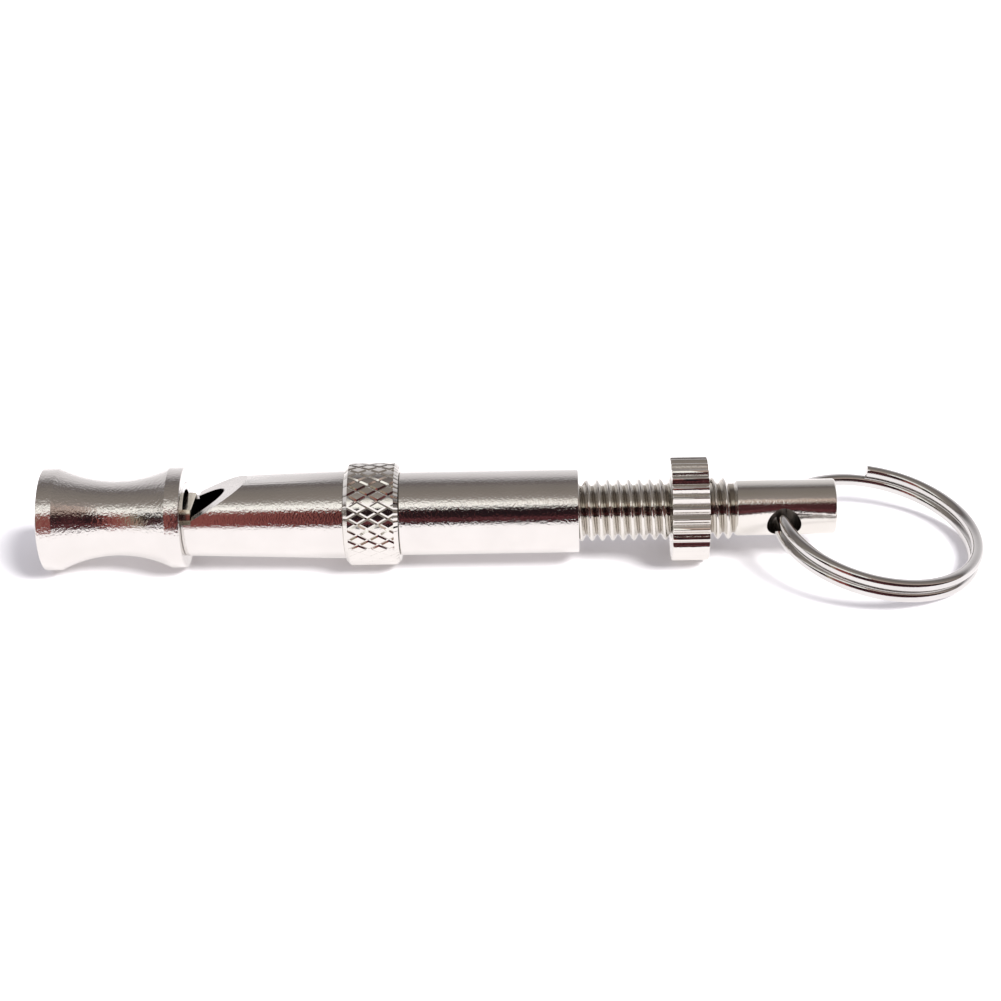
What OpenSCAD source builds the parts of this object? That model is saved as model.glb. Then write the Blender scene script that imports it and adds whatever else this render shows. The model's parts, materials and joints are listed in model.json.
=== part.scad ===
// Adjustable training whistle: a fixed mouthpiece and barrel, a tuning screw that carries
// the piston, a lock nut and a split ring. The whistle lies along X with its mouth end at
// the origin, and Z is up. All sizes are in millimetres.

/* [Mouthpiece] */
// Diameter over the lip at the mouth end
lip_d = 9.85; // [9.4:0.05:10]
// Width of the land at the lip
lip_w = 1.5; // [1.3:0.05:2]
// Smallest diameter of the waist
waist_d = 7.2; // [6.9:0.1:7.5]
// Diameter of the flange beside the window
flange_d = 9.7; // [9.2:0.05:10]
// Length of the mouthpiece, from its mouth end to the flange face
mouth_len = 13.6; // [13.3:0.1:14]
// Width of the land at the flange
flange_w = 1.4; // [1.2:0.1:1.6]
// Bore of the air inlet, from the mouth end to the windway plug
inlet_d = 5.7; // [5.5:0.1:5.8]

/* [Windway and window] */
// Bore of the front barrel, from the windway to the piston
bore_d = 5.3; // [4.8:0.1:5.4]
// Height of the slot between the plug's flat and the top of the bore
slot_h = 1; // [0.5:0.05:1.1]
// How far the plug stands out of the flange face
plug_out = 0.8; // [0.5:0.1:1.4]
// Length of the window along the top of the barrel
window_len = 6.1; // [5.8:0.1:6.5]
// Slope of the window's cut, up from its level floor
window_slope = 28.6; // [27:0.1:29]
// Length of the level floor beside the flange
window_flat = 0.95; // [0.5:0.05:1]
// Height of the level floor above the axis
window_floor = 0.75; // [0.5:0.05:0.8]
// Turn of the window about the axis, from straight up towards the far side
window_roll = 7; // [0:1:15]

/* [Barrels and collar] */
// Diameter of the front barrel beside the flange
front_d = 7.45; // [7.3:0.05:7.8]
// Diameter of the front barrel beside the collar
front_end_d = 8.45; // [8.2:0.05:8.6]
// Where the collar starts
collar_x = 29.05; // [28.8:0.05:29.5]
// Width of the collar
collar_w = 5.2; // [4.6:0.1:5.6]
// Bevel on both of the collar's edges
collar_edge = 0.4; // [0.2:0.05:0.5]
// Diameter over the collar's knurl
collar_d = 9.8; // [9.6:0.05:10.2]
// Diameter of the rear barrel
rear_d = 8; // [7.8:0.05:8.1]
// Where the rear barrel ends
rear_end_x = 51.3; // [50.5:0.1:51.4]

/* [Tuning screw] */
// Outside diameter of the thread, a little under its nominal M6
thread_d = 5.9; // [5.8:0.02:5.94]
// Pitch of the thread
pitch = 1; // [0.75:0.25:1]
// Where the thread ends and the smooth tail starts
tail_x = 66.5; // [66:0.1:67]
// Diameter of the tail
tail_d = 5.3; // [5.2:0.05:5.5]
// Overall length, from the mouth end to the tail's end
whistle_len = 75.7; // [75.4:0.1:77]
// Where the piston's face stands in the bore
piston_x = 26; // [25:0.5:27]

/* [Lock nut] */
// Where the nut starts
nut_x = 60.1; // [58:0.1:61]
// Width of the nut
nut_w = 3.5; // [3:0.1:4]
// Diameter over the nut's teeth
nut_d = 9.9; // [9.5:0.05:9.95]
// Number of teeth round the nut
nut_teeth = 30; // [24:1:36]
// Depth of the grooves between the nut's teeth
nut_groove = 0.35; // [0.2:0.05:0.4]

/* [Split ring] */
// Outside diameter of the ring
ring_d = 20.2; // [19.8:0.1:20.4]
// Diameter of the ring's wire
wire_d = 1.15; // [1:0.05:1.15]
// Where the cross hole passes through the tail
hole_x = 70.7; // [70.5:0.1:71.2]
// Diameter of the cross hole
hole_d = 3.25; // [3.2:0.05:3.4]
// Lean of the cross hole, nearest side down
hole_lean = 10; // [8:1:10]
// Lean of the ring, nearest side down
ring_lean = 3; // [2:1:5]
// Slope of the ring down to the surface that the whistle lies on
ring_dip = 10.4; // [8:0.1:10.4]
// Turn of the ring sideways in its own plane
ring_yaw = 9; // [6:1:9]

/* [Hidden] */
$fn = 96;

// Colours of the plating, the bare brass and the steel ring
nickel = [0.78, 0.76, 0.74];
brass = [0.72, 0.62, 0.42];
steel = [0.7, 0.7, 0.72];

// Gap left between pieces that are pressed together, and between those that move
press_gap = 0.02;
run_gap = 0.06;
// Bevels broken on the turned edges, and an overlap that makes cuts clean
edge = 0.25;
fine_edge = 0.1;
cut = 0.1;

// Waist: an arc that leaves the lip's land, touches the waist's diameter and meets the flange
waist_start = lip_w;
waist_end = mouth_len - flange_w;
waist_mid = (waist_start + waist_end) / 2;
waist_chord = (waist_end - waist_start) / 2;
waist_depth = (flange_d - waist_d) / 2;
waist_r = (waist_chord ^ 2 + waist_depth ^ 2) / (2 * waist_depth);

// Sockets: the front barrel's two spigots sit in the mouthpiece and in the rear barrel
socket_len = 4;
front_spigot_d = 6.6;
rear_spigot_d = 6.4;
rear_socket_len = 3;
rear_x = collar_x + collar_w;
plug_x = mouth_len - socket_len + press_gap;

// Window: a short level floor, a step up, then a slope that ends at the barrel's top
window_top = front_d / 2 + (front_end_d - front_d) / 2 * window_len / (collar_x - mouth_len);
window_step = window_top - (window_len - window_flat) * tan(window_slope) - window_floor;

// Thread: a sharp ridge whose depth follows its pitch, with a plain rod in front of it
thread_depth = 0.56 * pitch;
thread_len = 24.15;
thread_x = tail_x - thread_len;
thread_step = 24;
rod_d = 3.8;
screw_bore_d = thread_d + 2 * run_gap;

// Piston: it turns on a headed stub at the front of the rod
piston_len = 3;
stub_d = 2;
stub_head_d = 2.8;
stub_head_w = 0.65;
stub_x = piston_x + 1.05;
rod_x = piston_x + piston_len + run_gap;

// Ring: two layers of wire, a step between them inside the hole, and two cut ends
ring_r = (ring_d - wire_d) / 2;
layer_gap = 0.03;
layer_z = (wire_d + layer_gap) / 2;
ring_start = 99.5;
ring_turn = 631.5;
step_start = 268;
step_turn = 60;
ring_step = 6;
wire_sides = 10;
hole_offset = 0.15;
hole_drop = 0.25;

// A round bar along X, from x1 to x2, whose diameter goes from d1 to d2
module bar(x1, x2, d1, d2) {
    translate([x1, 0, 0])
        rotate([0, 90, 0])
            cylinder(h = x2 - x1, d1 = d1, d2 = d2);
}

// A plain round bar along X
module rod(x1, x2, d) {
    bar(x1, x2, d, d);
}

// A round bar along X with a bevel on both edges
module bevelled_rod(x1, x2, d, bevel) {
    bar(x1, x1 + bevel, d - 2 * bevel, d);
    rod(x1 + bevel, x2 - bevel, d);
    bar(x2 - bevel, x2, d, d - 2 * bevel);
}

// Turned about the axis so that the window leans to the far side
module rolled() {
    rotate([-window_roll, 0, 0])
        children();
}

// At the middle of the cross hole, leaning about the whistle's axis
module at_hole(lean) {
    translate([hole_x, 0, 0])
        rotate([lean, 0, 0])
            children();
}

module mouthpiece() {
    color(nickel)
        difference() {
            union() {
                bevelled_rod(0, waist_mid, lip_d, fine_edge);
                bevelled_rod(waist_mid - edge, mouth_len, flange_d, fine_edge);
            }
            rotate([0, 90, 0])
                rotate_extrude()
                    translate([waist_d / 2 + waist_r, waist_mid])
                        circle(r = waist_r, $fn = 180);
            rod(-cut, mouth_len, inlet_d);
            rod(mouth_len - socket_len, mouth_len + cut, front_spigot_d + 2 * press_gap);
        }
}

module windway_plug() {
    color(brass)
        rolled()
            difference() {
                rod(plug_x, mouth_len + plug_out, bore_d - 2 * press_gap);
                translate([plug_x - cut, -bore_d, bore_d / 2 - slot_h])
                    cube([mouth_len + plug_out - plug_x + 2 * cut, 2 * bore_d, bore_d]);
            }
}

// What is cut away to open the bore, from the flange to the slope's end at the barrel's top
module window_wedge() {
    reach = 3 * window_len;
    high = window_step + reach * sin(window_slope);
    translate([mouth_len, 0, window_floor])
        rotate([90, 0, 0])
            linear_extrude(height = 2 * front_end_d, center = true)
                polygon([
                    [0, 0],
                    [window_flat, 0],
                    [window_flat, window_step],
                    [window_flat + reach * cos(window_slope), high],
                    [0, high]
                ]);
}

module front_barrel() {
    color(nickel)
        rolled()
            difference() {
                union() {
                    rod(mouth_len - socket_len + press_gap, mouth_len, front_spigot_d);
                    bar(mouth_len, collar_x, front_d, front_end_d);
                    rod(collar_x, rear_x + rear_socket_len, rear_spigot_d);
                }
                rod(0, rear_x + rear_socket_len + cut, bore_d);
                window_wedge();
            }
}

module knurled_collar() {
    color(nickel)
        difference() {
            bevelled_rod(collar_x + press_gap, rear_x - press_gap, collar_d, collar_edge);
            rod(collar_x - cut, rear_x + cut, rear_spigot_d + 2 * press_gap);
        }
}

module rear_barrel() {
    color(nickel)
        difference() {
            bevelled_rod(rear_x, rear_end_x, rear_d, edge);
            rod(rear_x - cut, rear_x + rear_socket_len + press_gap, rear_spigot_d + 2 * press_gap);
            rod(rear_x, rear_end_x + cut, screw_bore_d);
        }
}

module piston() {
    color(brass)
        difference() {
            rod(piston_x, piston_x + piston_len, bore_d - 2 * run_gap);
            rod(stub_x - run_gap, stub_x + stub_head_w + run_gap, stub_head_d + 2 * run_gap);
            rod(stub_x, piston_x + piston_len + cut, stub_d + 2 * run_gap);
        }
}

// A point on the thread: step i along the helix, at radius r, shifted by a part of the pitch
function thread_point(i, r, shift) =
    let (a = 360 * i / thread_step)
    [pitch * (i / thread_step + shift), r * cos(a), r * sin(a)];

// The threaded bar: root and crest follow two helices, and a fan closes each end
module threaded_bar(length) {
    turns = floor(length / pitch) - 1;
    steps = turns * thread_step;
    roots = [for (i = [0:steps + thread_step]) thread_point(i, thread_d / 2 - thread_depth, 0)];
    crests = [for (i = [0:steps]) thread_point(i, thread_d / 2, 0.5)];
    first_crest = len(roots);
    front = first_crest + len(crests);
    back = front + 1;
    centres = [[pitch / 2, 0, 0], [pitch * (turns + 0.5), 0, 0]];
    flanks = [for (i = [0:steps - 1]) each [
        [i, first_crest + i, i + 1],
        [i + 1, first_crest + i, first_crest + i + 1],
        [first_crest + i, i + thread_step, first_crest + i + 1],
        [first_crest + i + 1, i + thread_step, i + 1 + thread_step]
    ]];
    fans = [for (i = [0:thread_step - 1]) each [
        [front, i, i + 1],
        [back, steps + i + 1, steps + i]
    ]];
    closers = [
        [front, first_crest, 0],
        [front, thread_step, first_crest],
        [back, steps, first_crest + steps],
        [back, first_crest + steps, steps + thread_step]
    ];
    polyhedron(points = concat(roots, crests, centres), faces = concat(flanks, fans, closers));
}

module tuning_screw() {
    core_d = thread_d - 2 * thread_depth - 0.2;
    color(nickel)
        difference() {
            union() {
                rod(stub_x, stub_x + stub_head_w, stub_head_d);
                rod(stub_x, rod_x + cut, stub_d);
                rod(rod_x, thread_x, rod_d);
                bar(thread_x, thread_x + pitch, rod_d, core_d);
                rod(thread_x + pitch, tail_x, core_d);
                translate([thread_x, 0, 0])
                    threaded_bar(thread_len);
                rod(tail_x - pitch / 2, whistle_len - edge, tail_d);
                bar(whistle_len - edge, whistle_len, tail_d, tail_d - 4 * edge);
            }
            at_hole(hole_lean)
                rotate([90, 0, 0])
                    cylinder(h = 2 * tail_d, d = hole_d, center = true);
        }
}

// Outline of the nut: a tooth and a groove with straight flanks, repeated round the rim. Each
// part is a share of the tooth's pitch and a share of the groove's depth
function nut_outline() = [
    for (i = [0:nut_teeth - 1])
        for (part = [[-0.05, 0], [0.05, 0], [0.45, 1], [0.55, 1]])
            let (a = 360 * (i + part[0]) / nut_teeth, r = nut_d / 2 - part[1] * nut_groove)
            [r * cos(a), r * sin(a)]
];

module lock_nut() {
    color(nickel)
        difference() {
            intersection() {
                translate([nut_x, 0, 0])
                    rotate([0, 90, 0])
                        linear_extrude(height = nut_w)
                            polygon(nut_outline());
                bevelled_rod(nut_x, nut_x + nut_w, nut_d, fine_edge);
            }
            rod(nut_x - cut, nut_x + nut_w + cut, screw_bore_d);
        }
}

// Height of the wire's centre in the ring's own frame, t degrees along the wire
function wire_z(t) =
    let (s = min(1, max(0, (t - step_start) / step_turn)))
    layer_z * (1 - 2 * s * s * (3 - 2 * s));

// A point on the wire's surface, t degrees along it and a degrees round it
function wire_point(t, a) =
    let (r = ring_r + wire_d / 2 * cos(a), turn = ring_start - t)
    [r * cos(turn), r * sin(turn), wire_z(t) + wire_d / 2 * sin(a)];

// The wire, coiled flat for its two layers, with its two cut ends
module split_ring_wire() {
    rings = ceil(ring_turn / ring_step);
    points = [for (i = [0:rings], k = [0:wire_sides - 1])
        wire_point(i * ring_turn / rings, 360 * k / wire_sides)];
    sides = [for (i = [0:rings - 1], k = [0:wire_sides - 1])
        let (a = i * wire_sides + k, b = i * wire_sides + (k + 1) % wire_sides)
        each [[a, b, a + wire_sides], [b, b + wire_sides, a + wire_sides]]];
    ends = [
        [for (k = [wire_sides - 1:-1:0]) k],
        [for (k = [0:wire_sides - 1]) rings * wire_sides + k]
    ];
    polyhedron(points = points, faces = concat(sides, ends));
}

module split_ring() {
    color(steel)
        at_hole(ring_lean)
            rotate([0, ring_dip, 0])
                rotate([0, 0, -ring_yaw])
                    translate([ring_r - hole_offset, 0, -hole_drop])
                        split_ring_wire();
}

mouthpiece();
windway_plug();
front_barrel();
knurled_collar();
rear_barrel();
piston();
tuning_screw();
lock_nut();
split_ring();
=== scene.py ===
import json
import math

import bmesh
import bpy
from mathutils import Matrix, Vector


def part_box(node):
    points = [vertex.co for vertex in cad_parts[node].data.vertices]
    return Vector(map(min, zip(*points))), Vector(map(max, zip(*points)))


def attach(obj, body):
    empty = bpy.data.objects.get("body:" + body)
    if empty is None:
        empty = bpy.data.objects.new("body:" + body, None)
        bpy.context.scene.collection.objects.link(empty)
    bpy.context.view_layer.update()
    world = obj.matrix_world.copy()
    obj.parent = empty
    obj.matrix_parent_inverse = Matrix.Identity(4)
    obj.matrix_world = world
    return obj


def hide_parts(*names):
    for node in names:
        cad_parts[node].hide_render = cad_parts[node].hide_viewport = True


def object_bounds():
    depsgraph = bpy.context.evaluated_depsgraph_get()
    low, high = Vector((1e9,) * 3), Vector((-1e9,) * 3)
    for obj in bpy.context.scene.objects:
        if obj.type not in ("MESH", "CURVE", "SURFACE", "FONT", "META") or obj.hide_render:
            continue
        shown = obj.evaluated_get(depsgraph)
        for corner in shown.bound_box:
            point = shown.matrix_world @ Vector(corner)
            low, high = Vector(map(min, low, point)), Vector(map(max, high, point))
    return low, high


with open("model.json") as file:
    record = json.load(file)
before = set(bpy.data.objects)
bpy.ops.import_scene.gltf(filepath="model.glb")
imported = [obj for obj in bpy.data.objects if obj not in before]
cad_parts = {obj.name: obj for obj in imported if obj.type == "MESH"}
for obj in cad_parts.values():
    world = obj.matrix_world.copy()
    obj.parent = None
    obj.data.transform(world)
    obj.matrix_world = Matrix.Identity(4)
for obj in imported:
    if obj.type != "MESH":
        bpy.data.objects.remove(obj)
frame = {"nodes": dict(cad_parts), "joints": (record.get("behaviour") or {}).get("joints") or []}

CAD_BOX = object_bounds()

# The whistle lies along X with its mouth end at the origin. Lengths are in metres.
MM = 0.001
BODY = "whistle_body"
TURNS = 192  # steps round a turned piece
FINE = 6  # steps along a small fillet
MERGE = 1e-7  # points nearer than this are one point


def span(node):
    """Where a node starts and ends along the axis, and its radius."""
    low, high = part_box(node)
    return low.x, high.x, (high.y - low.y) / 2


MOUTH_X0, MOUTH_X1, LIP_R = span("mouthpiece")
PLUG_X0, PLUG_X1, PLUG_R = span("windway_plug")
FRONT_X0, FRONT_X1, FRONT_END_R = span("front_barrel")
COLLAR_X0, COLLAR_X1, COLLAR_R = span("knurled_collar")
REAR_X0, REAR_X1, REAR_R = span("rear_barrel")
_, SCREW_X1, THREAD_R = span("tuning_screw")
NUT_X0, NUT_X1, _ = span("lock_nut")
NUT_R = -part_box("lock_nut")[0].z  # a tooth points straight down
FLOOR_Z = CAD_BOX[0].z

# Sizes inside those boxes, as the design has them
FLANGE_R = 4.85 * MM
WAIST_R = 3.6 * MM
LIP_LAND = 1.5 * MM
FLANGE_LAND = 1.4 * MM
INLET_R = 2.85 * MM
BORE_R = 2.65 * MM
SOCKET_X = 9.6 * MM
FRONT_SPIGOT_R = 3.3 * MM
FRONT_R = 3.725 * MM
REAR_SPIGOT_R = 3.2 * MM
REAR_SPIGOT_END = 37.25 * MM
SLOT_H = 1.0 * MM
WINDOW_FLOOR = 0.75 * MM
WINDOW_LEN = 6.1 * MM
WINDOW_FLAT = 0.95 * MM
WINDOW_SLOPE = math.radians(28.6)
WINDOW_ROLL = math.radians(-7)
SCREW_BORE_R = 3.01 * MM
PITCH = 1.0 * MM
THREAD_X0 = 42.35 * MM
THREAD_DEPTH = 0.60 * MM
TAIL_X = 66.5 * MM
TAIL_R = 2.65 * MM
HOLE_X = 70.7 * MM
HOLE_R = 1.625 * MM
NUT_TEETH = 30

# How pieces meet, and how their edges are broken
PRESS_GAP = 0.02 * MM  # left between pieces that are pressed together
CORNER = 0.1 * MM  # radius of a plain turned corner
CHAMFER = 0.25 * MM  # at the mouth of a bore

# The window's slope rises from a step above its level floor to the top of the tapered barrel
WINDOW_TOP = FRONT_R + (FRONT_END_R - FRONT_R) * WINDOW_LEN / (COLLAR_X0 - MOUTH_X1)
WINDOW_STEP_TOP = WINDOW_TOP - (WINDOW_LEN - WINDOW_FLAT) * math.tan(WINDOW_SLOPE)


# ---------------------------------------------------------------- mesh helpers

def link(name, data):
    """A new object in the scene, for a mesh, a lamp or a camera."""
    made = bpy.data.objects.new(name, data)
    bpy.context.scene.collection.objects.link(made)
    return made


def make_piece(name, vertices, faces, sharp=30):
    """A mesh object with smooth shading, broken where faces meet at more than the sharp angle."""
    mesh = bpy.data.meshes.new(name)
    mesh.from_pydata([tuple(v) for v in vertices], [], faces)
    piece = link(name, mesh)
    tidy(piece, sharp)
    return piece


def tidy(piece, sharp=30):
    """Merges double points, turns every face outward and sets the shading."""
    bm = bmesh.new()
    bm.from_mesh(piece.data)
    bmesh.ops.remove_doubles(bm, verts=bm.verts, dist=MERGE)
    bmesh.ops.dissolve_degenerate(bm, dist=MERGE / 2, edges=bm.edges)
    bmesh.ops.recalc_face_normals(bm, faces=bm.faces)
    bm.to_mesh(piece.data)
    bm.free()
    piece.data.shade_smooth()
    piece.data.set_sharp_from_angle(angle=math.radians(sharp))
    piece.data.update()


def apply_modifiers(piece):
    """Bakes the piece's modifiers into its mesh."""
    bpy.context.view_layer.update()
    graph = bpy.context.evaluated_depsgraph_get()
    mesh = bpy.data.meshes.new_from_object(piece.evaluated_get(graph))
    old = piece.data
    piece.modifiers.clear()
    piece.data = mesh
    bpy.data.meshes.remove(old)


def boolean(piece, other, operation):
    """Cuts or joins other, which is then removed."""
    modifier = piece.modifiers.new("boolean", "BOOLEAN")
    modifier.operation = operation
    modifier.solver = "EXACT"
    modifier.object = other
    apply_modifiers(piece)
    bpy.data.objects.remove(other)


def soften(piece, width, segments=2, angle=32):
    """Rounds the piece's sharp edges."""
    modifier = piece.modifiers.new("soften", "BEVEL")
    modifier.width = width
    modifier.segments = segments
    modifier.limit_method = "ANGLE"
    modifier.angle_limit = math.radians(angle)
    modifier.use_clamp_overlap = True
    apply_modifiers(piece)


def fillet(before, corner, after, radius):
    """Points of the arc that rounds a corner of an outline."""
    corner = Vector(corner)
    a = (Vector(before) - corner).normalized()
    b = (Vector(after) - corner).normalized()
    half = a.angle(b) / 2
    reach = radius / math.tan(half)
    start, end = corner + a * reach, corner + b * reach
    centre = corner + (a + b).normalized() * radius / math.sin(half)
    points = []
    for i in range(FINE + 1):
        t = i / FINE
        p = start.lerp(end, t) - centre
        points.append(centre + p.normalized() * radius)
    return points


def outline(corners):
    """A closed outline of (x, r) points. A corner is (x, r) or, to round it, (x, r, radius)."""
    points = []
    count = len(corners)
    for i, corner in enumerate(corners):
        if len(corner) == 2:
            points.append(Vector(corner))
            continue
        before, after = corners[i - 1][:2], corners[(i + 1) % count][:2]
        points += fillet(before, corner[:2], after, corner[2])
    return points


def quads(rows, count, closed):
    """Faces that join rows of points, each row a loop of count points.

    If closed, the last row is joined to the first."""
    faces = []
    for i in range(rows if closed else rows - 1):
        j = (i + 1) % rows
        for k in range(count):
            m = (k + 1) % count
            faces.append((i * count + k, i * count + m, j * count + m, j * count + k))
    return faces


def turned(name, profile, steps=TURNS):
    """A closed outline of (x, r) points turned about the axis."""
    vertices = []
    for i in range(steps):
        a = 2 * math.pi * i / steps
        vertices += [(x, r * math.cos(a), r * math.sin(a)) for x, r in profile]
    return make_piece(name, vertices, quads(steps, len(profile), True))


def roll(piece, angle):
    """Turns a piece's mesh about the whistle's axis."""
    piece.data.transform(Matrix.Rotation(angle, 4, "X"))


def arc(start, end, depth, steps):
    """Points of the hollow arc between two points at (x, r), which dips by depth at its middle."""
    half = (end[0] - start[0]) / 2
    radius = (half ** 2 + depth ** 2) / (2 * depth)
    x_mid = (start[0] + end[0]) / 2
    r_mid = (start[1] + end[1]) / 2
    points = []
    for i in range(1, steps):
        x = start[0] + (end[0] - start[0]) * i / steps
        lean = (end[1] - start[1]) * (i / steps - 0.5)
        dip = math.sqrt(radius ** 2 - (x - x_mid) ** 2) - (radius - depth)
        points.append((x, r_mid + lean - dip))
    return points


# ---------------------------------------------------------------- materials

# Grains to the metre in the plating's drift of colour, its satin and its finest speckle
DRIFT_GRAIN, SATIN_GRAIN, SPECKLE_GRAIN = 260, 5200, 12000


def material(name):
    """A new node material and its shader."""
    made = bpy.data.materials.new(name)
    made.use_nodes = True
    return made, made.node_tree, made.node_tree.nodes["Principled BSDF"]


def add(tree, kind, **values):
    """A node with its properties set and, by name, its input values."""
    node = tree.nodes.new(kind)
    for key, value in values.items():
        if hasattr(node, key):
            setattr(node, key, value)
        else:
            node.inputs[key].default_value = value
    return node


def ramp(tree, source, stops):
    """A colour ramp from a list of (position, colour) stops."""
    node = add(tree, "ShaderNodeValToRGB")
    elements = node.color_ramp.elements
    while len(elements) < len(stops):
        elements.new(0.5)
    for element, (position, colour) in zip(elements, stops):
        element.position = position
        element.color = (*colour, 1)
    tree.links.new(source, node.inputs["Fac"])
    return node.outputs["Color"]


def noise(tree, coordinates, scale, detail, roughness=0.5):
    """The factor of a noise whose grain is 1 / scale metres across."""
    node = add(tree, "ShaderNodeTexNoise", Scale=scale, Detail=detail, Roughness=roughness)
    tree.links.new(coordinates, node.inputs["Vector"])
    return node.outputs["Fac"]


def calc(tree, operation, a, b=0.0):
    """The result of a maths operation on two numbers or outputs."""
    node = add(tree, "ShaderNodeMath", operation=operation)
    for socket, value in zip(node.inputs, (a, b)):
        if isinstance(value, (int, float)):
            socket.default_value = value
        else:
            tree.links.new(value, socket)
    return node.outputs[0]


def mix(tree, factor, a, b, blend="MIX"):
    """Two colours mixed by a factor, each a value or an output."""
    node = add(tree, "ShaderNodeMix", data_type="RGBA", blend_type=blend)
    for socket, value in ((node.inputs["Factor"], factor), (node.inputs[6], a), (node.inputs[7], b)):
        if isinstance(value, (int, float)):
            socket.default_value = value
        elif isinstance(value, tuple):
            socket.default_value = (*value, 1)
        else:
            tree.links.new(value, socket)
    return node.outputs[2]


def map_range(tree, value, from_min, from_max, to_min=0.0, to_max=1.0):
    """A value stretched from one range to another, and kept inside it."""
    node = add(tree, "ShaderNodeMapRange", **{"From Min": from_min, "From Max": from_max,
                                              "To Min": to_min, "To Max": to_max})
    tree.links.new(value, node.inputs["Value"])
    return node.outputs["Result"]


def off_axis(tree, y, z):
    """The distance from the whistle's axis."""
    square = calc(tree, "ADD", calc(tree, "MULTIPLY", y, y), calc(tree, "MULTIPLY", z, z))
    return calc(tree, "SQRT", square)


def plated(name, colour, tint, roughness, peel=0.006, grain=4500, fine=0.0015, dark=None):
    """Plated metal: a faint drift of colour, a satin break-up of the gloss and an orange-peel bump.

    peel is the bump's height in millimetres and grain its count to the metre. fine is the height
    of the finest speckle. dark is the painted shade nearest the axis: inner radius, outer radius,
    colour."""
    made, tree, shader = material(name)
    coordinates = add(tree, "ShaderNodeTexCoord").outputs["Object"]
    drift = noise(tree, coordinates, DRIFT_GRAIN, 2)
    colour_out = ramp(tree, drift, [(0.35, colour), (0.68, tint)])
    if dark:
        parts = add(tree, "ShaderNodeSeparateXYZ")
        tree.links.new(coordinates, parts.inputs[0])
        _, y, z = parts.outputs
        # painted shade: the colour turns to dark's colour towards the axis
        unshaded = map_range(tree, off_axis(tree, y, z), dark[0], dark[1])
        colour_out = mix(tree, unshaded, dark[2], colour_out)
    tree.links.new(colour_out, shader.inputs["Base Color"])
    shader.inputs["Metallic"].default_value = 1.0

    satin = noise(tree, coordinates, SATIN_GRAIN, 4, 0.6)
    gloss = map_range(tree, satin, 0.3, 0.75, roughness * 0.7, roughness * 1.6)
    tree.links.new(gloss, shader.inputs["Roughness"])

    coarse = add(tree, "ShaderNodeBump", Distance=peel * MM)
    tree.links.new(noise(tree, coordinates, grain, 2), coarse.inputs["Height"])
    speckle = add(tree, "ShaderNodeBump", Distance=fine * MM)
    tree.links.new(noise(tree, coordinates, SPECKLE_GRAIN, 2, 0.6), speckle.inputs["Height"])
    tree.links.new(coarse.outputs["Normal"], speckle.inputs["Normal"])
    tree.links.new(speckle.outputs["Normal"], shader.inputs["Normal"])
    return made


# Bright plating in its two tints, and the painted shade in the bore, where the window meets the bore
# and between the threads
PLATE, PLATE_TINT = (0.70, 0.68, 0.66), (0.73, 0.71, 0.69)
BORE_SHADE, BORE_EDGE_SHADE, THREAD_ROOT_SHADE = (0.05, 0.03, 0.026), (0.06, 0.035, 0.03), (0.16, 0.12, 0.07)
THREAD_ROOT_SHADE_R = 2.33 * MM, 2.45 * MM  # all painted shade within the first, none beyond the second

NICKEL = plated("nickel", PLATE, PLATE_TINT, 0.07, 0.020, 5200, 0.004)
MOUTH_NICKEL = plated("mouth_nickel", PLATE, PLATE_TINT, 0.08, 0.034, 4000, 0.008)
# painted shade: the bore's surface is coloured near black
BORED_NICKEL = plated("bored_nickel", PLATE, PLATE_TINT, 0.07, 0.020, 5200, 0.004,
                      dark=(BORE_R + 0.03 * MM, BORE_R + 0.09 * MM, BORE_SHADE))
# the milled window face, with painted shade where it meets the bore
MILLED_NICKEL = plated("milled_nickel", (0.60, 0.58, 0.56), (0.66, 0.64, 0.62), 0.22, 0.012,
                       dark=(BORE_R + 0.01 * MM, BORE_R + 0.07 * MM, BORE_EDGE_SHADE))
KNURL_NICKEL = plated("knurl_nickel", (0.70, 0.68, 0.65), (0.73, 0.71, 0.68), 0.09, 0.006)
# painted shade in the roots between the threads
SCREW_NICKEL = plated("screw_nickel", (0.70, 0.68, 0.64), (0.73, 0.71, 0.68), 0.10, 0.010,
                      dark=(*THREAD_ROOT_SHADE_R, THREAD_ROOT_SHADE))
# painted shade inside the cross hole
HOLE_SHADE = plated("hole_shade", (0.06, 0.05, 0.04), (0.12, 0.10, 0.08), 0.35, 0.02)
BRASS = plated("plug_brass", (0.57, 0.52, 0.43), (0.64, 0.60, 0.52), 0.16, 0.008)
RING_STEEL = plated("ring_steel", (0.62, 0.61, 0.60), (0.68, 0.67, 0.66), 0.09, 0.003)


def finish_piece(piece, body, node, slot, *materials):
    """Gives a piece its materials and its body, and hides the node that it stands for.

    Its broad faces keep their own normals, so that the narrow ones beside them take up the bend. slot
    is not used."""
    weigh = piece.modifiers.new("weigh", "WEIGHTED_NORMAL")
    weigh.keep_sharp = True
    weigh.weight = 100
    apply_modifiers(piece)
    piece.data.materials.clear()
    for one in materials:
        piece.data.materials.append(one)
    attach(piece, body)
    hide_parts(node)


# ---------------------------------------------------------------- the fixed pieces

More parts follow.
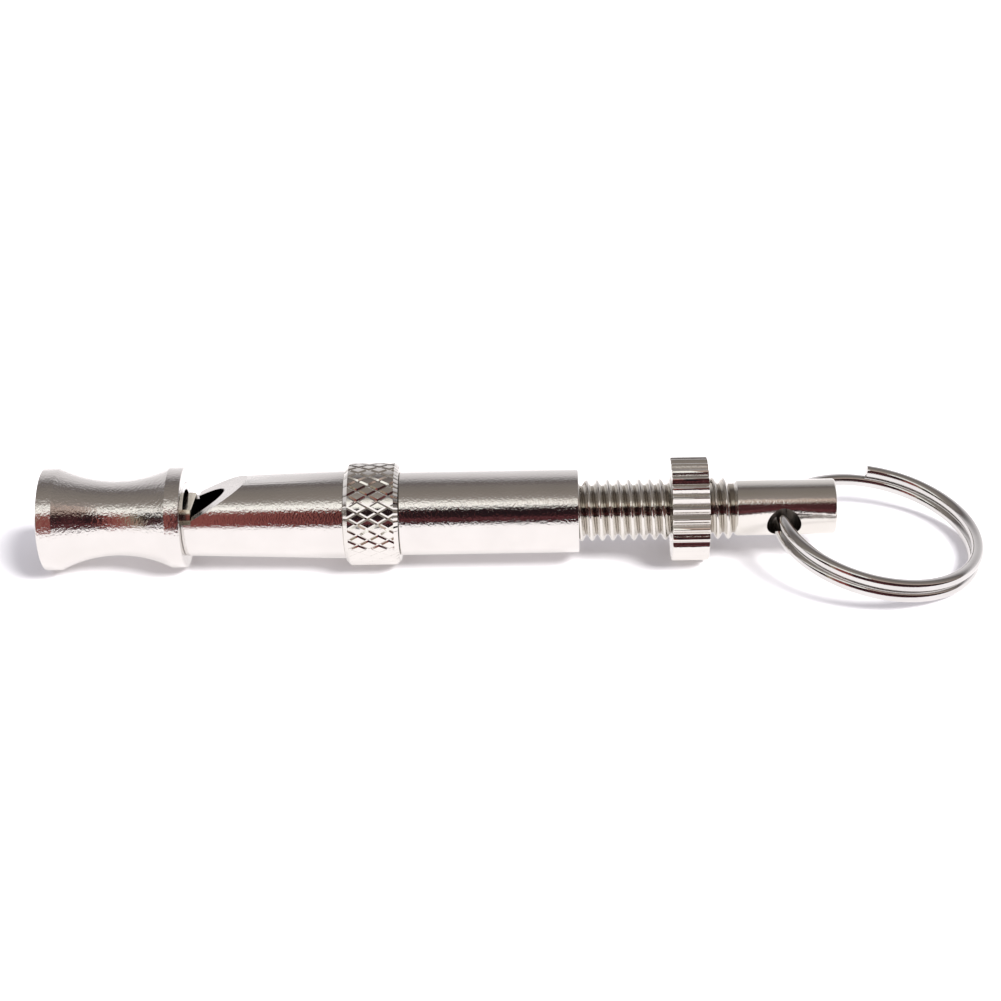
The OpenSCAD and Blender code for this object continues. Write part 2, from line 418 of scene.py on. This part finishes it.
def make_mouthpiece():
    """The lip, the hollow waist and the flange, with the inlet bore and the barrel's socket."""
    waist_x0, waist_x1 = LIP_LAND, MOUTH_X1 - FLANGE_LAND
    waist_ends = (waist_x0, LIP_R), (waist_x1, FLANGE_R)
    depth = (LIP_R + FLANGE_R) / 2 - WAIST_R
    socket_r = FRONT_SPIGOT_R + PRESS_GAP
    corners = [
        (MOUTH_X0, INLET_R + CHAMFER, 0.2 * MM),
        (MOUTH_X0, LIP_R, 0.09 * MM),
        (waist_x0, LIP_R, 0.05 * MM),
        *arc(*waist_ends, depth, 48),
        (waist_x1, FLANGE_R, 0.05 * MM),
        (MOUTH_X1, FLANGE_R, 0.08 * MM),
        (MOUTH_X1, socket_r, 0.04 * MM),
        (SOCKET_X, socket_r),
        (SOCKET_X, INLET_R),
        (MOUTH_X0 + CHAMFER, INLET_R, 0.2 * MM),
    ]
    piece = turned("mouthpiece_shell", outline(corners))
    finish_piece(piece, BODY, "mouthpiece", "nickel_plate", MOUTH_NICKEL)


def make_windway_plug():
    """A round plug with a milled flat on top, which leaves the windway slot above it."""
    flat = BORE_R - SLOT_H
    half = math.acos(flat / PLUG_R)
    steps = 96
    angles = [math.pi / 2 + half + (2 * math.pi - 2 * half) * i / steps for i in range(steps + 1)]
    edge = 0.08 * MM
    sections = [(PLUG_X0, edge), (PLUG_X0 + edge, 0), (PLUG_X1 - edge, 0), (PLUG_X1, edge)]
    vertices = []
    for x, inset in sections:
        for a in angles:
            y, z = (PLUG_R - inset) * math.cos(a), (PLUG_R - inset) * math.sin(a)
            vertices.append((x, y, min(z, flat - inset)))
    count = len(angles)
    faces = quads(len(sections), count, False)
    faces.append(tuple(range(count)))
    faces.append(tuple(range(len(vertices) - count, len(vertices))))
    piece = make_piece("fipple_plug", vertices, faces)
    roll(piece, WINDOW_ROLL)
    finish_piece(piece, BODY, "windway_plug", "bare_brass", BRASS)


def make_window_cutter():
    """The wedge that the window leaves open, from the flange face to the top of the barrel."""
    reach = 3 * WINDOW_LEN
    side = 2 * FRONT_END_R
    high = WINDOW_STEP_TOP + math.tan(WINDOW_SLOPE) * reach
    shape = [(0, WINDOW_FLOOR), (WINDOW_FLAT, WINDOW_FLOOR), (WINDOW_FLAT, WINDOW_STEP_TOP),
             (WINDOW_FLAT + reach, high), (0, high)]
    count = len(shape)
    vertices = [(MOUTH_X1 + x, y, z) for y in (-side, side) for x, z in shape]
    faces = [tuple(range(count)), tuple(range(2 * count - 1, count - 1, -1))]
    faces += [(i, i + count, (i + 1) % count + count, (i + 1) % count) for i in range(count)]
    return make_piece("window_cutter", vertices, faces)


def make_front_barrel():
    """The tapered tube with the window cut through to its bore, and a spigot at each end."""
    corners = [
        (FRONT_X0, BORE_R),
        (FRONT_X0, FRONT_SPIGOT_R, CORNER),
        (MOUTH_X1, FRONT_SPIGOT_R),
        (MOUTH_X1, FRONT_R, CORNER),
        (COLLAR_X0 - PRESS_GAP, FRONT_END_R, CORNER),
        (COLLAR_X0 - PRESS_GAP, REAR_SPIGOT_R),
        (FRONT_X1, REAR_SPIGOT_R, CORNER),
        (FRONT_X1, BORE_R),
    ]
    piece = turned("front_tube", outline(corners), 256)
    boolean(piece, make_window_cutter(), "DIFFERENCE")
    tidy(piece)
    soften(piece, 0.035 * MM)
    tidy(piece)
    finish_piece(piece, BODY, "front_barrel", "nickel_plate", BORED_NICKEL, MILLED_NICKEL)
    across = Vector((-math.sin(WINDOW_SLOPE), 0, math.cos(WINDOW_SLOPE)))
    for face in piece.data.polygons:
        milled = face.normal.dot(across) > 0.999 and face.center.x < MOUTH_X1 + WINDOW_LEN
        face.material_index = 1 if milled else 0
    roll(piece, WINDOW_ROLL)


def make_collar():
    """The ring with a diamond knurl: flat diamonds between two sets of crossing grooves."""
    starts, lead = 28, 1.95 * MM  # diamonds round the collar, and the length of one
    groove, depth = 0.17, 0.10 * MM  # half a groove's width as a share of a diamond's, and its depth
    bevel, bore_r = 0.4 * MM, REAR_SPIGOT_R + PRESS_GAP
    x0, x1 = COLLAR_X0 + bevel, COLLAR_X1 - bevel
    flats = 4
    marks = [0] + [groove + (1 - 2 * groove) * i / flats for i in range(flats + 1)]
    rows = int(2 * (x1 - x0) / lead) + 4
    bm = bmesh.new()
    for around in range(starts):
        for row in range(-2, rows):
            # the cell's first corner: u and v count the two sets of grooves
            u0, v0 = around + (row + 1) // 2, around - row // 2
            grid = {}
            for i, du in enumerate(marks + [1]):
                for k, dv in enumerate(marks + [1]):
                    u, v = u0 + du, v0 + dv
                    angle = 2 * math.pi * (u + v) / (2 * starts)
                    x = x0 + (u - v) / 2 * lead
                    deep = du in (0, 1) or dv in (0, 1)
                    r = COLLAR_R - (depth if deep else 0)
                    grid[i, k] = bm.verts.new((x, r * math.cos(angle), r * math.sin(angle)))
            for i in range(len(marks)):
                for k in range(len(marks)):
                    bm.faces.new((grid[i, k], grid[i + 1, k], grid[i + 1, k + 1], grid[i, k + 1]))
    bmesh.ops.remove_doubles(bm, verts=bm.verts, dist=MERGE)
    for x, normal in ((x0, (-1, 0, 0)), (x1, (1, 0, 0))):
        geometry = bm.verts[:] + bm.edges[:] + bm.faces[:]
        bmesh.ops.bisect_plane(bm, geom=geometry, plane_co=(x, 0, 0), plane_no=normal,
                               clear_outer=True, dist=1e-8)
    # beyond the knurl each edge turns down the bevel, in to the bore and round its own corner
    bores = []
    for x, outer in ((x0, COLLAR_X0), (x1, COLLAR_X1)):
        loop = [e for e in bm.edges if e.is_boundary and abs(e.verts[0].co.x - x) < 1e-6]
        inner = outer + (CORNER if outer < x else -CORNER)
        for ring_x, ring_r in ((outer, COLLAR_R - bevel), (outer, bore_r + CORNER), (inner, bore_r)):
            made = bmesh.ops.extrude_edge_only(bm, edges=loop)["geom"]
            loop = [e for e in made if isinstance(e, bmesh.types.BMEdge)]
            for v in {v for e in loop for v in e.verts}:
                flat = Vector((0, v.co.y, v.co.z)).normalized() * ring_r
                v.co = (ring_x, flat.y, flat.z)
        bores += loop
    bmesh.ops.bridge_loops(bm, edges=bores)
    mesh = bpy.data.meshes.new("knurled_ring")
    bm.to_mesh(mesh)
    bm.free()
    piece = link("knurled_ring", mesh)
    tidy(piece, 20)
    finish_piece(piece, BODY, "knurled_collar", "nickel_plate", KNURL_NICKEL)


def make_rear_barrel():
    """The plain tube behind the collar."""
    corners = [
        (REAR_X0, REAR_SPIGOT_R + PRESS_GAP),
        (REAR_X0, REAR_R, CORNER),
        (REAR_X1, REAR_R, CORNER),
        (REAR_X1, SCREW_BORE_R + CHAMFER, 0.05 * MM),
        (REAR_X1 - CHAMFER, SCREW_BORE_R),
        (REAR_SPIGOT_END + PRESS_GAP, SCREW_BORE_R),
        (REAR_SPIGOT_END + PRESS_GAP, REAR_SPIGOT_R + PRESS_GAP),
    ]
    piece = turned("rear_tube", outline(corners))
    finish_piece(piece, BODY, "rear_barrel", "nickel_plate", NICKEL)


# ---------------------------------------------------------------- the moving pieces

def make_thread(name, x0, x1, root, crest, steps=96):
    """A right-hand thread: a row of points goes round in a helix, and a fan closes each end."""
    # where along the pitch and how far from root to crest each point is
    shape = [(0.0, 0.0), (0.08, 0.0), (0.20, 0.32), (0.32, 0.68), (0.40, 0.87), (0.47, 0.97),
             (0.54, 1.0), (0.61, 0.97), (0.68, 0.87), (0.76, 0.68), (0.88, 0.32)]
    profile = [(share, root + (crest - root) * high) for share, high in shape]
    count = len(profile)
    turns = int((x1 - x0) / PITCH) - 1
    total = turns * steps
    vertices = []
    for i in range(total + steps + 1):
        a = 2 * math.pi * i / steps
        for share, r in profile:
            vertices.append((x0 + PITCH * (i / steps + share), r * math.cos(a), r * math.sin(a)))

    def index(i, k):
        return i * count + k if k < count else (i + steps) * count

    faces = []
    for i in range(total):
        for k in range(count):
            faces.append((index(i, k), index(i + 1, k), index(i + 1, k + 1), index(i, k + 1)))
    first, last = len(vertices), len(vertices) + 1
    vertices.append((x0 + PITCH / 2, 0, 0))
    vertices.append((x0 + PITCH * (turns + 0.5), 0, 0))
    for i in range(steps):
        faces.append((first, index(i + 1, 0), index(i, 0)))
        faces.append((last, index(total + i, 0), index(total + i + 1, 0)))
    for k in range(count):
        faces.append((first, index(0, k), index(0, k + 1)))
        faces.append((last, index(total, k + 1), index(total, k)))
    return make_piece(name, vertices, faces)


def hole_line():
    """The cross hole's middle and direction, which are the ring's hinge."""
    joint = next(j for j in frame["joints"] if j["name"] == "ring_swing")
    return Vector(joint["pos_m"]), Vector(joint["axis"]).normalized()


def make_hole_cutter(radius, length):
    """A round bar along the cross hole's own direction, length to each side."""
    corners = [(-length, 0), (-length, radius), (length, radius), (length, 0)]
    bar = turned("hole_cutter", corners, 96)
    middle, along = hole_line()
    turn = along.to_track_quat("X", "Z").to_matrix().to_4x4()
    bar.data.transform(Matrix.Translation(middle) @ turn)
    return bar


def make_tuning_screw():
    """The headed stub and rod inside the barrel, the thread, and the tail with its cross hole."""
    root = THREAD_R - THREAD_DEPTH
    core = root + 0.02 * MM  # reaches a little into the thread, for the two to join
    head_x, head_len, head_r, stub_r = 27.05 * MM, 0.65 * MM, 1.4 * MM, 1.0 * MM
    rod_x, rod_r = 29.06 * MM, 1.9 * MM
    bevel, bevel_len, run_out = 0.12 * MM, 0.18 * MM, 0.15 * MM  # from the tail down to the thread
    tail_x = TAIL_X - bevel
    corners = [
        (head_x, 0), (head_x, head_r, CORNER), (head_x + head_len, head_r),
        (head_x + head_len, stub_r), (rod_x, stub_r), (rod_x, rod_r, CORNER),
        (THREAD_X0, rod_r), (THREAD_X0 + PITCH, core), (tail_x - bevel_len - run_out, core),
        (tail_x - bevel_len, TAIL_R - bevel), (tail_x, TAIL_R, CORNER),
        (SCREW_X1, TAIL_R, 0.22 * MM), (SCREW_X1, 0),
    ]
    piece = turned("screw_bar", outline(corners))
    boolean(piece, make_hole_cutter(HOLE_R, 2 * TAIL_R), "DIFFERENCE")
    tidy(piece)
    soften(piece, 0.08 * MM, 3, 40)
    boolean(piece, make_thread("screw_thread", THREAD_X0, TAIL_X, root, THREAD_R), "UNION")
    tidy(piece, 40)
    finish_piece(piece, "tuning_screw", "tuning_screw", "screw_plate", SCREW_NICKEL, HOLE_SHADE)
    middle, along = hole_line()
    # faces inside the cross hole take the painted shade
    for face in piece.data.polygons:
        reach = face.center - middle
        reach -= along * reach.dot(along)
        inside = reach.length < 1.01 * HOLE_R and abs(face.normal.dot(along)) < 0.5
        face.material_index = 1 if inside else 0


def make_lock_nut():
    """The nut: pointed teeth with straight flanks, bevelled on both edges. One tooth points down."""
    bevel, groove_depth = 0.08 * MM, 0.35 * MM
    shape = [(-0.05, 0), (0.05, 0), (0.25, 0.5), (0.45, 1), (0.55, 1), (0.75, 0.5)]
    rim = []
    for i in range(NUT_TEETH):
        rim += [(2 * math.pi * ((i + share) / NUT_TEETH - 0.25), NUT_R - groove_depth * deep)
                for share, deep in shape]
    chamfer = 0.35 * MM
    columns = [
        (NUT_X0, lambda r: min(r, NUT_R - bevel)),
        (NUT_X0 + bevel, lambda r: r),
        (NUT_X1 - bevel, lambda r: r),
        (NUT_X1, lambda r: min(r, NUT_R - bevel)),
        (NUT_X1, lambda r: SCREW_BORE_R + chamfer),
        (NUT_X1 - chamfer, lambda r: SCREW_BORE_R),
        (NUT_X0 + chamfer, lambda r: SCREW_BORE_R),
        (NUT_X0, lambda r: SCREW_BORE_R + chamfer),
    ]
    vertices = []
    for a, r in rim:
        vertices += [(x, radius(r) * math.cos(a), radius(r) * math.sin(a)) for x, radius in columns]
    piece = make_piece("ribbed_nut", vertices, quads(len(rim), len(columns), True), 25)
    soften(piece, 0.03 * MM, 2, 25)
    tidy(piece, 35)
    finish_piece(piece, "lock_nut", "lock_nut", "nickel_plate", KNURL_NICKEL)


def make_split_ring():
    """Two layers of round wire that step past each other inside the cross hole, with two cut ends."""
    wire_r, layer_z, ring_r = 0.575 * MM, 0.59 * MM, 9.525 * MM
    # in degrees: where the wire starts, how far it runs, where its step from one layer to the
    # other begins and how long that is, and how far it runs between two rows of points
    start, turn = math.radians(99.5), 631.5
    step_start, step_turn, per_step = 268, 60, 2.5
    sides = 28
    lean, dip, yaw = math.radians(3), math.radians(10.4), math.radians(9)
    offset, drop = 0.15 * MM, 0.25 * MM

    def centre(t):
        s = min(1, max(0, (t - step_start) / step_turn))
        a = start - math.radians(t)
        z = layer_z * (1 - 2 * s * s * (3 - 2 * s))
        return Vector((ring_r * math.cos(a), ring_r * math.sin(a), z)), a

    trim = 0.09 * MM
    ends = [(0, trim), (0.15, trim * 0.35), (0.55, 0)]
    first = ends[-1][0]
    between = turn - 2 * first
    count = int(between / per_step)
    stations = ends + [(first + between * (i + 1) / (count + 1), 0) for i in range(count)]
    stations += [(turn - t, inset) for t, inset in reversed(ends)]
    vertices = []
    for t, inset in stations:
        middle, a = centre(t)
        out = Vector((math.cos(a), math.sin(a), 0))
        for k in range(sides):
            b = 2 * math.pi * k / sides
            spoke = out * math.cos(b) + Vector((0, 0, math.sin(b)))
            vertices.append(middle + (wire_r - inset) * spoke)
    faces = quads(len(stations), sides, False)
    faces.append(tuple(range(sides)))
    faces.append(tuple(range(len(vertices) - sides, len(vertices))))
    piece = make_piece("split_ring_wire", vertices, faces)
    place = (Matrix.Translation((HOLE_X, 0, 0)) @ Matrix.Rotation(lean, 4, "X")
             @ Matrix.Rotation(dip, 4, "Y") @ Matrix.Rotation(-yaw, 4, "Z")
             @ Matrix.Translation((ring_r - offset, 0, -drop)))
    piece.data.transform(place)
    finish_piece(piece, "split_ring", "split_ring", "ring_steel", RING_STEEL)


make_mouthpiece()
make_windway_plug()
make_front_barrel()
make_collar()
make_rear_barrel()
make_tuning_screw()
make_lock_nut()
make_split_ring()
piston = frame["nodes"]["piston"]
piston.data.materials.clear()
piston.data.materials.append(BRASS)


# ---------------------------------------------------------------- floor, light and camera

def make_floor():
    """A plain white floor.

    It glows in the metal's reflections only, so they show less shadow on it than the camera sees."""
    size = 4.0
    corners = [(x * size, y * size, FLOOR_Z) for x, y in ((-1, -1), (1, -1), (1, 1), (-1, 1))]
    floor = make_piece("floor", corners, [(0, 1, 2, 3)])
    made, tree, shader = material("floor_white")
    coordinates = add(tree, "ShaderNodeTexCoord").outputs["Object"]
    white = ramp(tree, noise(tree, coordinates, 60, 2),
                 [(0.3, (0.84, 0.82, 0.83)), (0.7, (0.86, 0.84, 0.85))])
    tree.links.new(white, shader.inputs["Base Color"])
    shader.inputs["Roughness"].default_value = 0.9
    shader.inputs["Specular IOR Level"].default_value = 0.1
    glow = add(tree, "ShaderNodeEmission", Color=(1.0, 0.955, 0.955, 1), Strength=1.24)
    glossy = add(tree, "ShaderNodeLightPath").outputs["Is Glossy Ray"]
    mixed = add(tree, "ShaderNodeMixShader")
    tree.links.new(calc(tree, "MULTIPLY", glossy, 0.7), mixed.inputs["Fac"])
    tree.links.new(shader.outputs[0], mixed.inputs[1])
    tree.links.new(glow.outputs[0], mixed.inputs[2])
    tree.links.new(mixed.outputs[0], tree.nodes["Material Output"].inputs["Surface"])
    made.cycles.emission_sampling = "NONE"
    floor.data.materials.append(made)


BLACK, WINE, BROWN = (0.018, 0.010, 0.012), (0.085, 0.026, 0.028), (0.29, 0.088, 0.078)
CREAM, EMBER = (0.42, 0.36, 0.27), (0.15, 0.045, 0.05)


def make_room():
    """The dim side of the room in front of the whistle. The metal's dark band is its reflection."""
    distance, reach, height = 0.20, 0.45, 0.19
    corners = [(-reach, -distance, FLOOR_Z), (reach, -distance, FLOOR_Z),
               (reach, -distance, height), (-reach, -distance, height)]
    card = make_piece("room_card", corners, [(0, 1, 2, 3)])
    made, tree, shader = material("room_dark")
    tree.nodes.remove(shader)
    parts = add(tree, "ShaderNodeSeparateXYZ")
    tree.links.new(add(tree, "ShaderNodeTexCoord").outputs["Object"], parts.inputs[0])
    x, _, z = parts.outputs
    across = calc(tree, "ADD", calc(tree, "DIVIDE", x, 2 * reach), 0.5)

    def at(metres):
        return 0.5 + metres / (2 * reach)

    # from the mouth end to the tail, in metres
    stops = [(-0.21, BLACK), (-0.165, BLACK), (-0.14, CREAM), (-0.12, CREAM), (-0.09, BROWN),
             (-0.014, BROWN), (-0.006, BLACK), (0.065, BLACK), (0.085, WINE), (0.2, BLACK)]
    colours = ramp(tree, across, [(at(metres), colour) for metres, colour in stops])
    up = calc(tree, "DIVIDE", z, height)
    streak = ramp(tree, up, [(0.12, (0, 0, 0)), (0.17, EMBER), (0.27, EMBER), (0.33, (0, 0, 0))])
    glow = add(tree, "ShaderNodeEmission")
    tree.links.new(mix(tree, 1.0, colours, streak, "LIGHTEN"), glow.inputs["Color"])
    tree.links.new(glow.outputs[0], tree.nodes["Material Output"].inputs["Surface"])
    made.cycles.emission_sampling = "NONE"
    card.data.materials.append(made)
    card.visible_camera = card.visible_diffuse = card.visible_shadow = False


def make_studio():
    """A sun from the front right, white soft light, and for the metal pale and dark bands.

    The bands run along the whistle. Their angle is measured round its axis, from the front up."""
    world = bpy.data.worlds.new("studio")
    bpy.context.scene.world = world
    world.use_nodes = True
    tree = world.node_tree
    parts = add(tree, "ShaderNodeSeparateXYZ")
    tree.links.new(add(tree, "ShaderNodeTexCoord").outputs["Generated"], parts.inputs[0])
    x, y, z = parts.outputs
    front = calc(tree, "MULTIPLY", y, -1)
    angle = calc(tree, "DIVIDE", calc(tree, "ARCTAN2", z, front), math.pi)
    across = calc(tree, "MAXIMUM", off_axis(tree, y, z), 0.01)
    side = calc(tree, "ADD", calc(tree, "DIVIDE", x, across), 0.5)

    grey = [(0.44, (0.30, 0.265, 0.24)), (0.50, (0.27, 0.24, 0.215)), (0.60, (0.24, 0.215, 0.20)),
            (0.665, (0.17, 0.145, 0.145)), (0.70, (0.27, 0.26, 0.26)), (0.745, (0.47, 0.45, 0.455)),
            (0.81, (0.74, 0.71, 0.72)), (0.90, (0.90, 0.87, 0.88)), (1.0, (0.97, 0.95, 0.97))]
    window = [(0.225, BLACK), (0.255, (1.35, 1.34, 1.28)), (0.315, (1.3, 1.28, 1.22)),
              (0.345, (0.70, 0.67, 0.63)), (0.375, (0.36, 0.33, 0.30))]
    shaded = [(0.225, BLACK), (0.27, (0.28, 0.2, 0.17)), (0.315, (0.72, 0.56, 0.48)),
              (0.345, (0.55, 0.45, 0.40)), (0.375, (0.34, 0.30, 0.28))]
    bright, dull = ramp(tree, angle, window + grey), ramp(tree, angle, shaded + grey)
    # reflections that lean to the mouth end see the bright window, those to the tail the dull one
    bands = mix(tree, map_range(tree, side, 0.545, 0.575), bright, dull)

    glossy = add(tree, "ShaderNodeLightPath").outputs["Is Glossy Ray"]
    ambient = (0.74, 0.73, 0.78)
    result = mix(tree, glossy, ambient, bands)
    tree.links.new(result, tree.nodes["Background"].inputs["Color"])

    key = bpy.data.lights.new("key", "SUN")
    key.angle = math.radians(27)
    key.energy = 5.4
    lamp = link("key", key)
    lamp.location = (0.29, -0.16, 0.33)
    aim = Vector((0.045, 0, 0))
    lamp.rotation_euler = (aim - lamp.location).to_track_quat("-Z", "Y").to_euler()
    lamp.visible_glossy = False


def make_camera():
    """A long lens in front of the whistle, 31 degrees above the surface that it lies on."""
    elevation, yaw, tilt, lift = (math.radians(a) for a in (31, 1.55, -0.95, 0.286))
    distance, foot = 0.214, Vector((49.6 * MM, 0, 0))
    back = Vector((0, -math.cos(elevation), math.sin(elevation)))
    turn = (Matrix.Rotation(math.pi / 2 - elevation, 4, "X") @ Matrix.Rotation(yaw, 4, "Y")
            @ Matrix.Rotation(tilt, 4, "Z") @ Matrix.Rotation(lift, 4, "X"))
    data = bpy.data.cameras.new("camera")
    data.sensor_width = 36
    data.lens = 80.3
    data.clip_start, data.clip_end = 0.01, 20
    camera = link("camera", data)
    camera.matrix_world = Matrix.Translation(foot + back * distance) @ turn
    bpy.context.scene.camera = camera


make_floor()
make_room()
make_studio()
make_camera()
bpy.context.scene.view_settings.view_transform = "Standard"
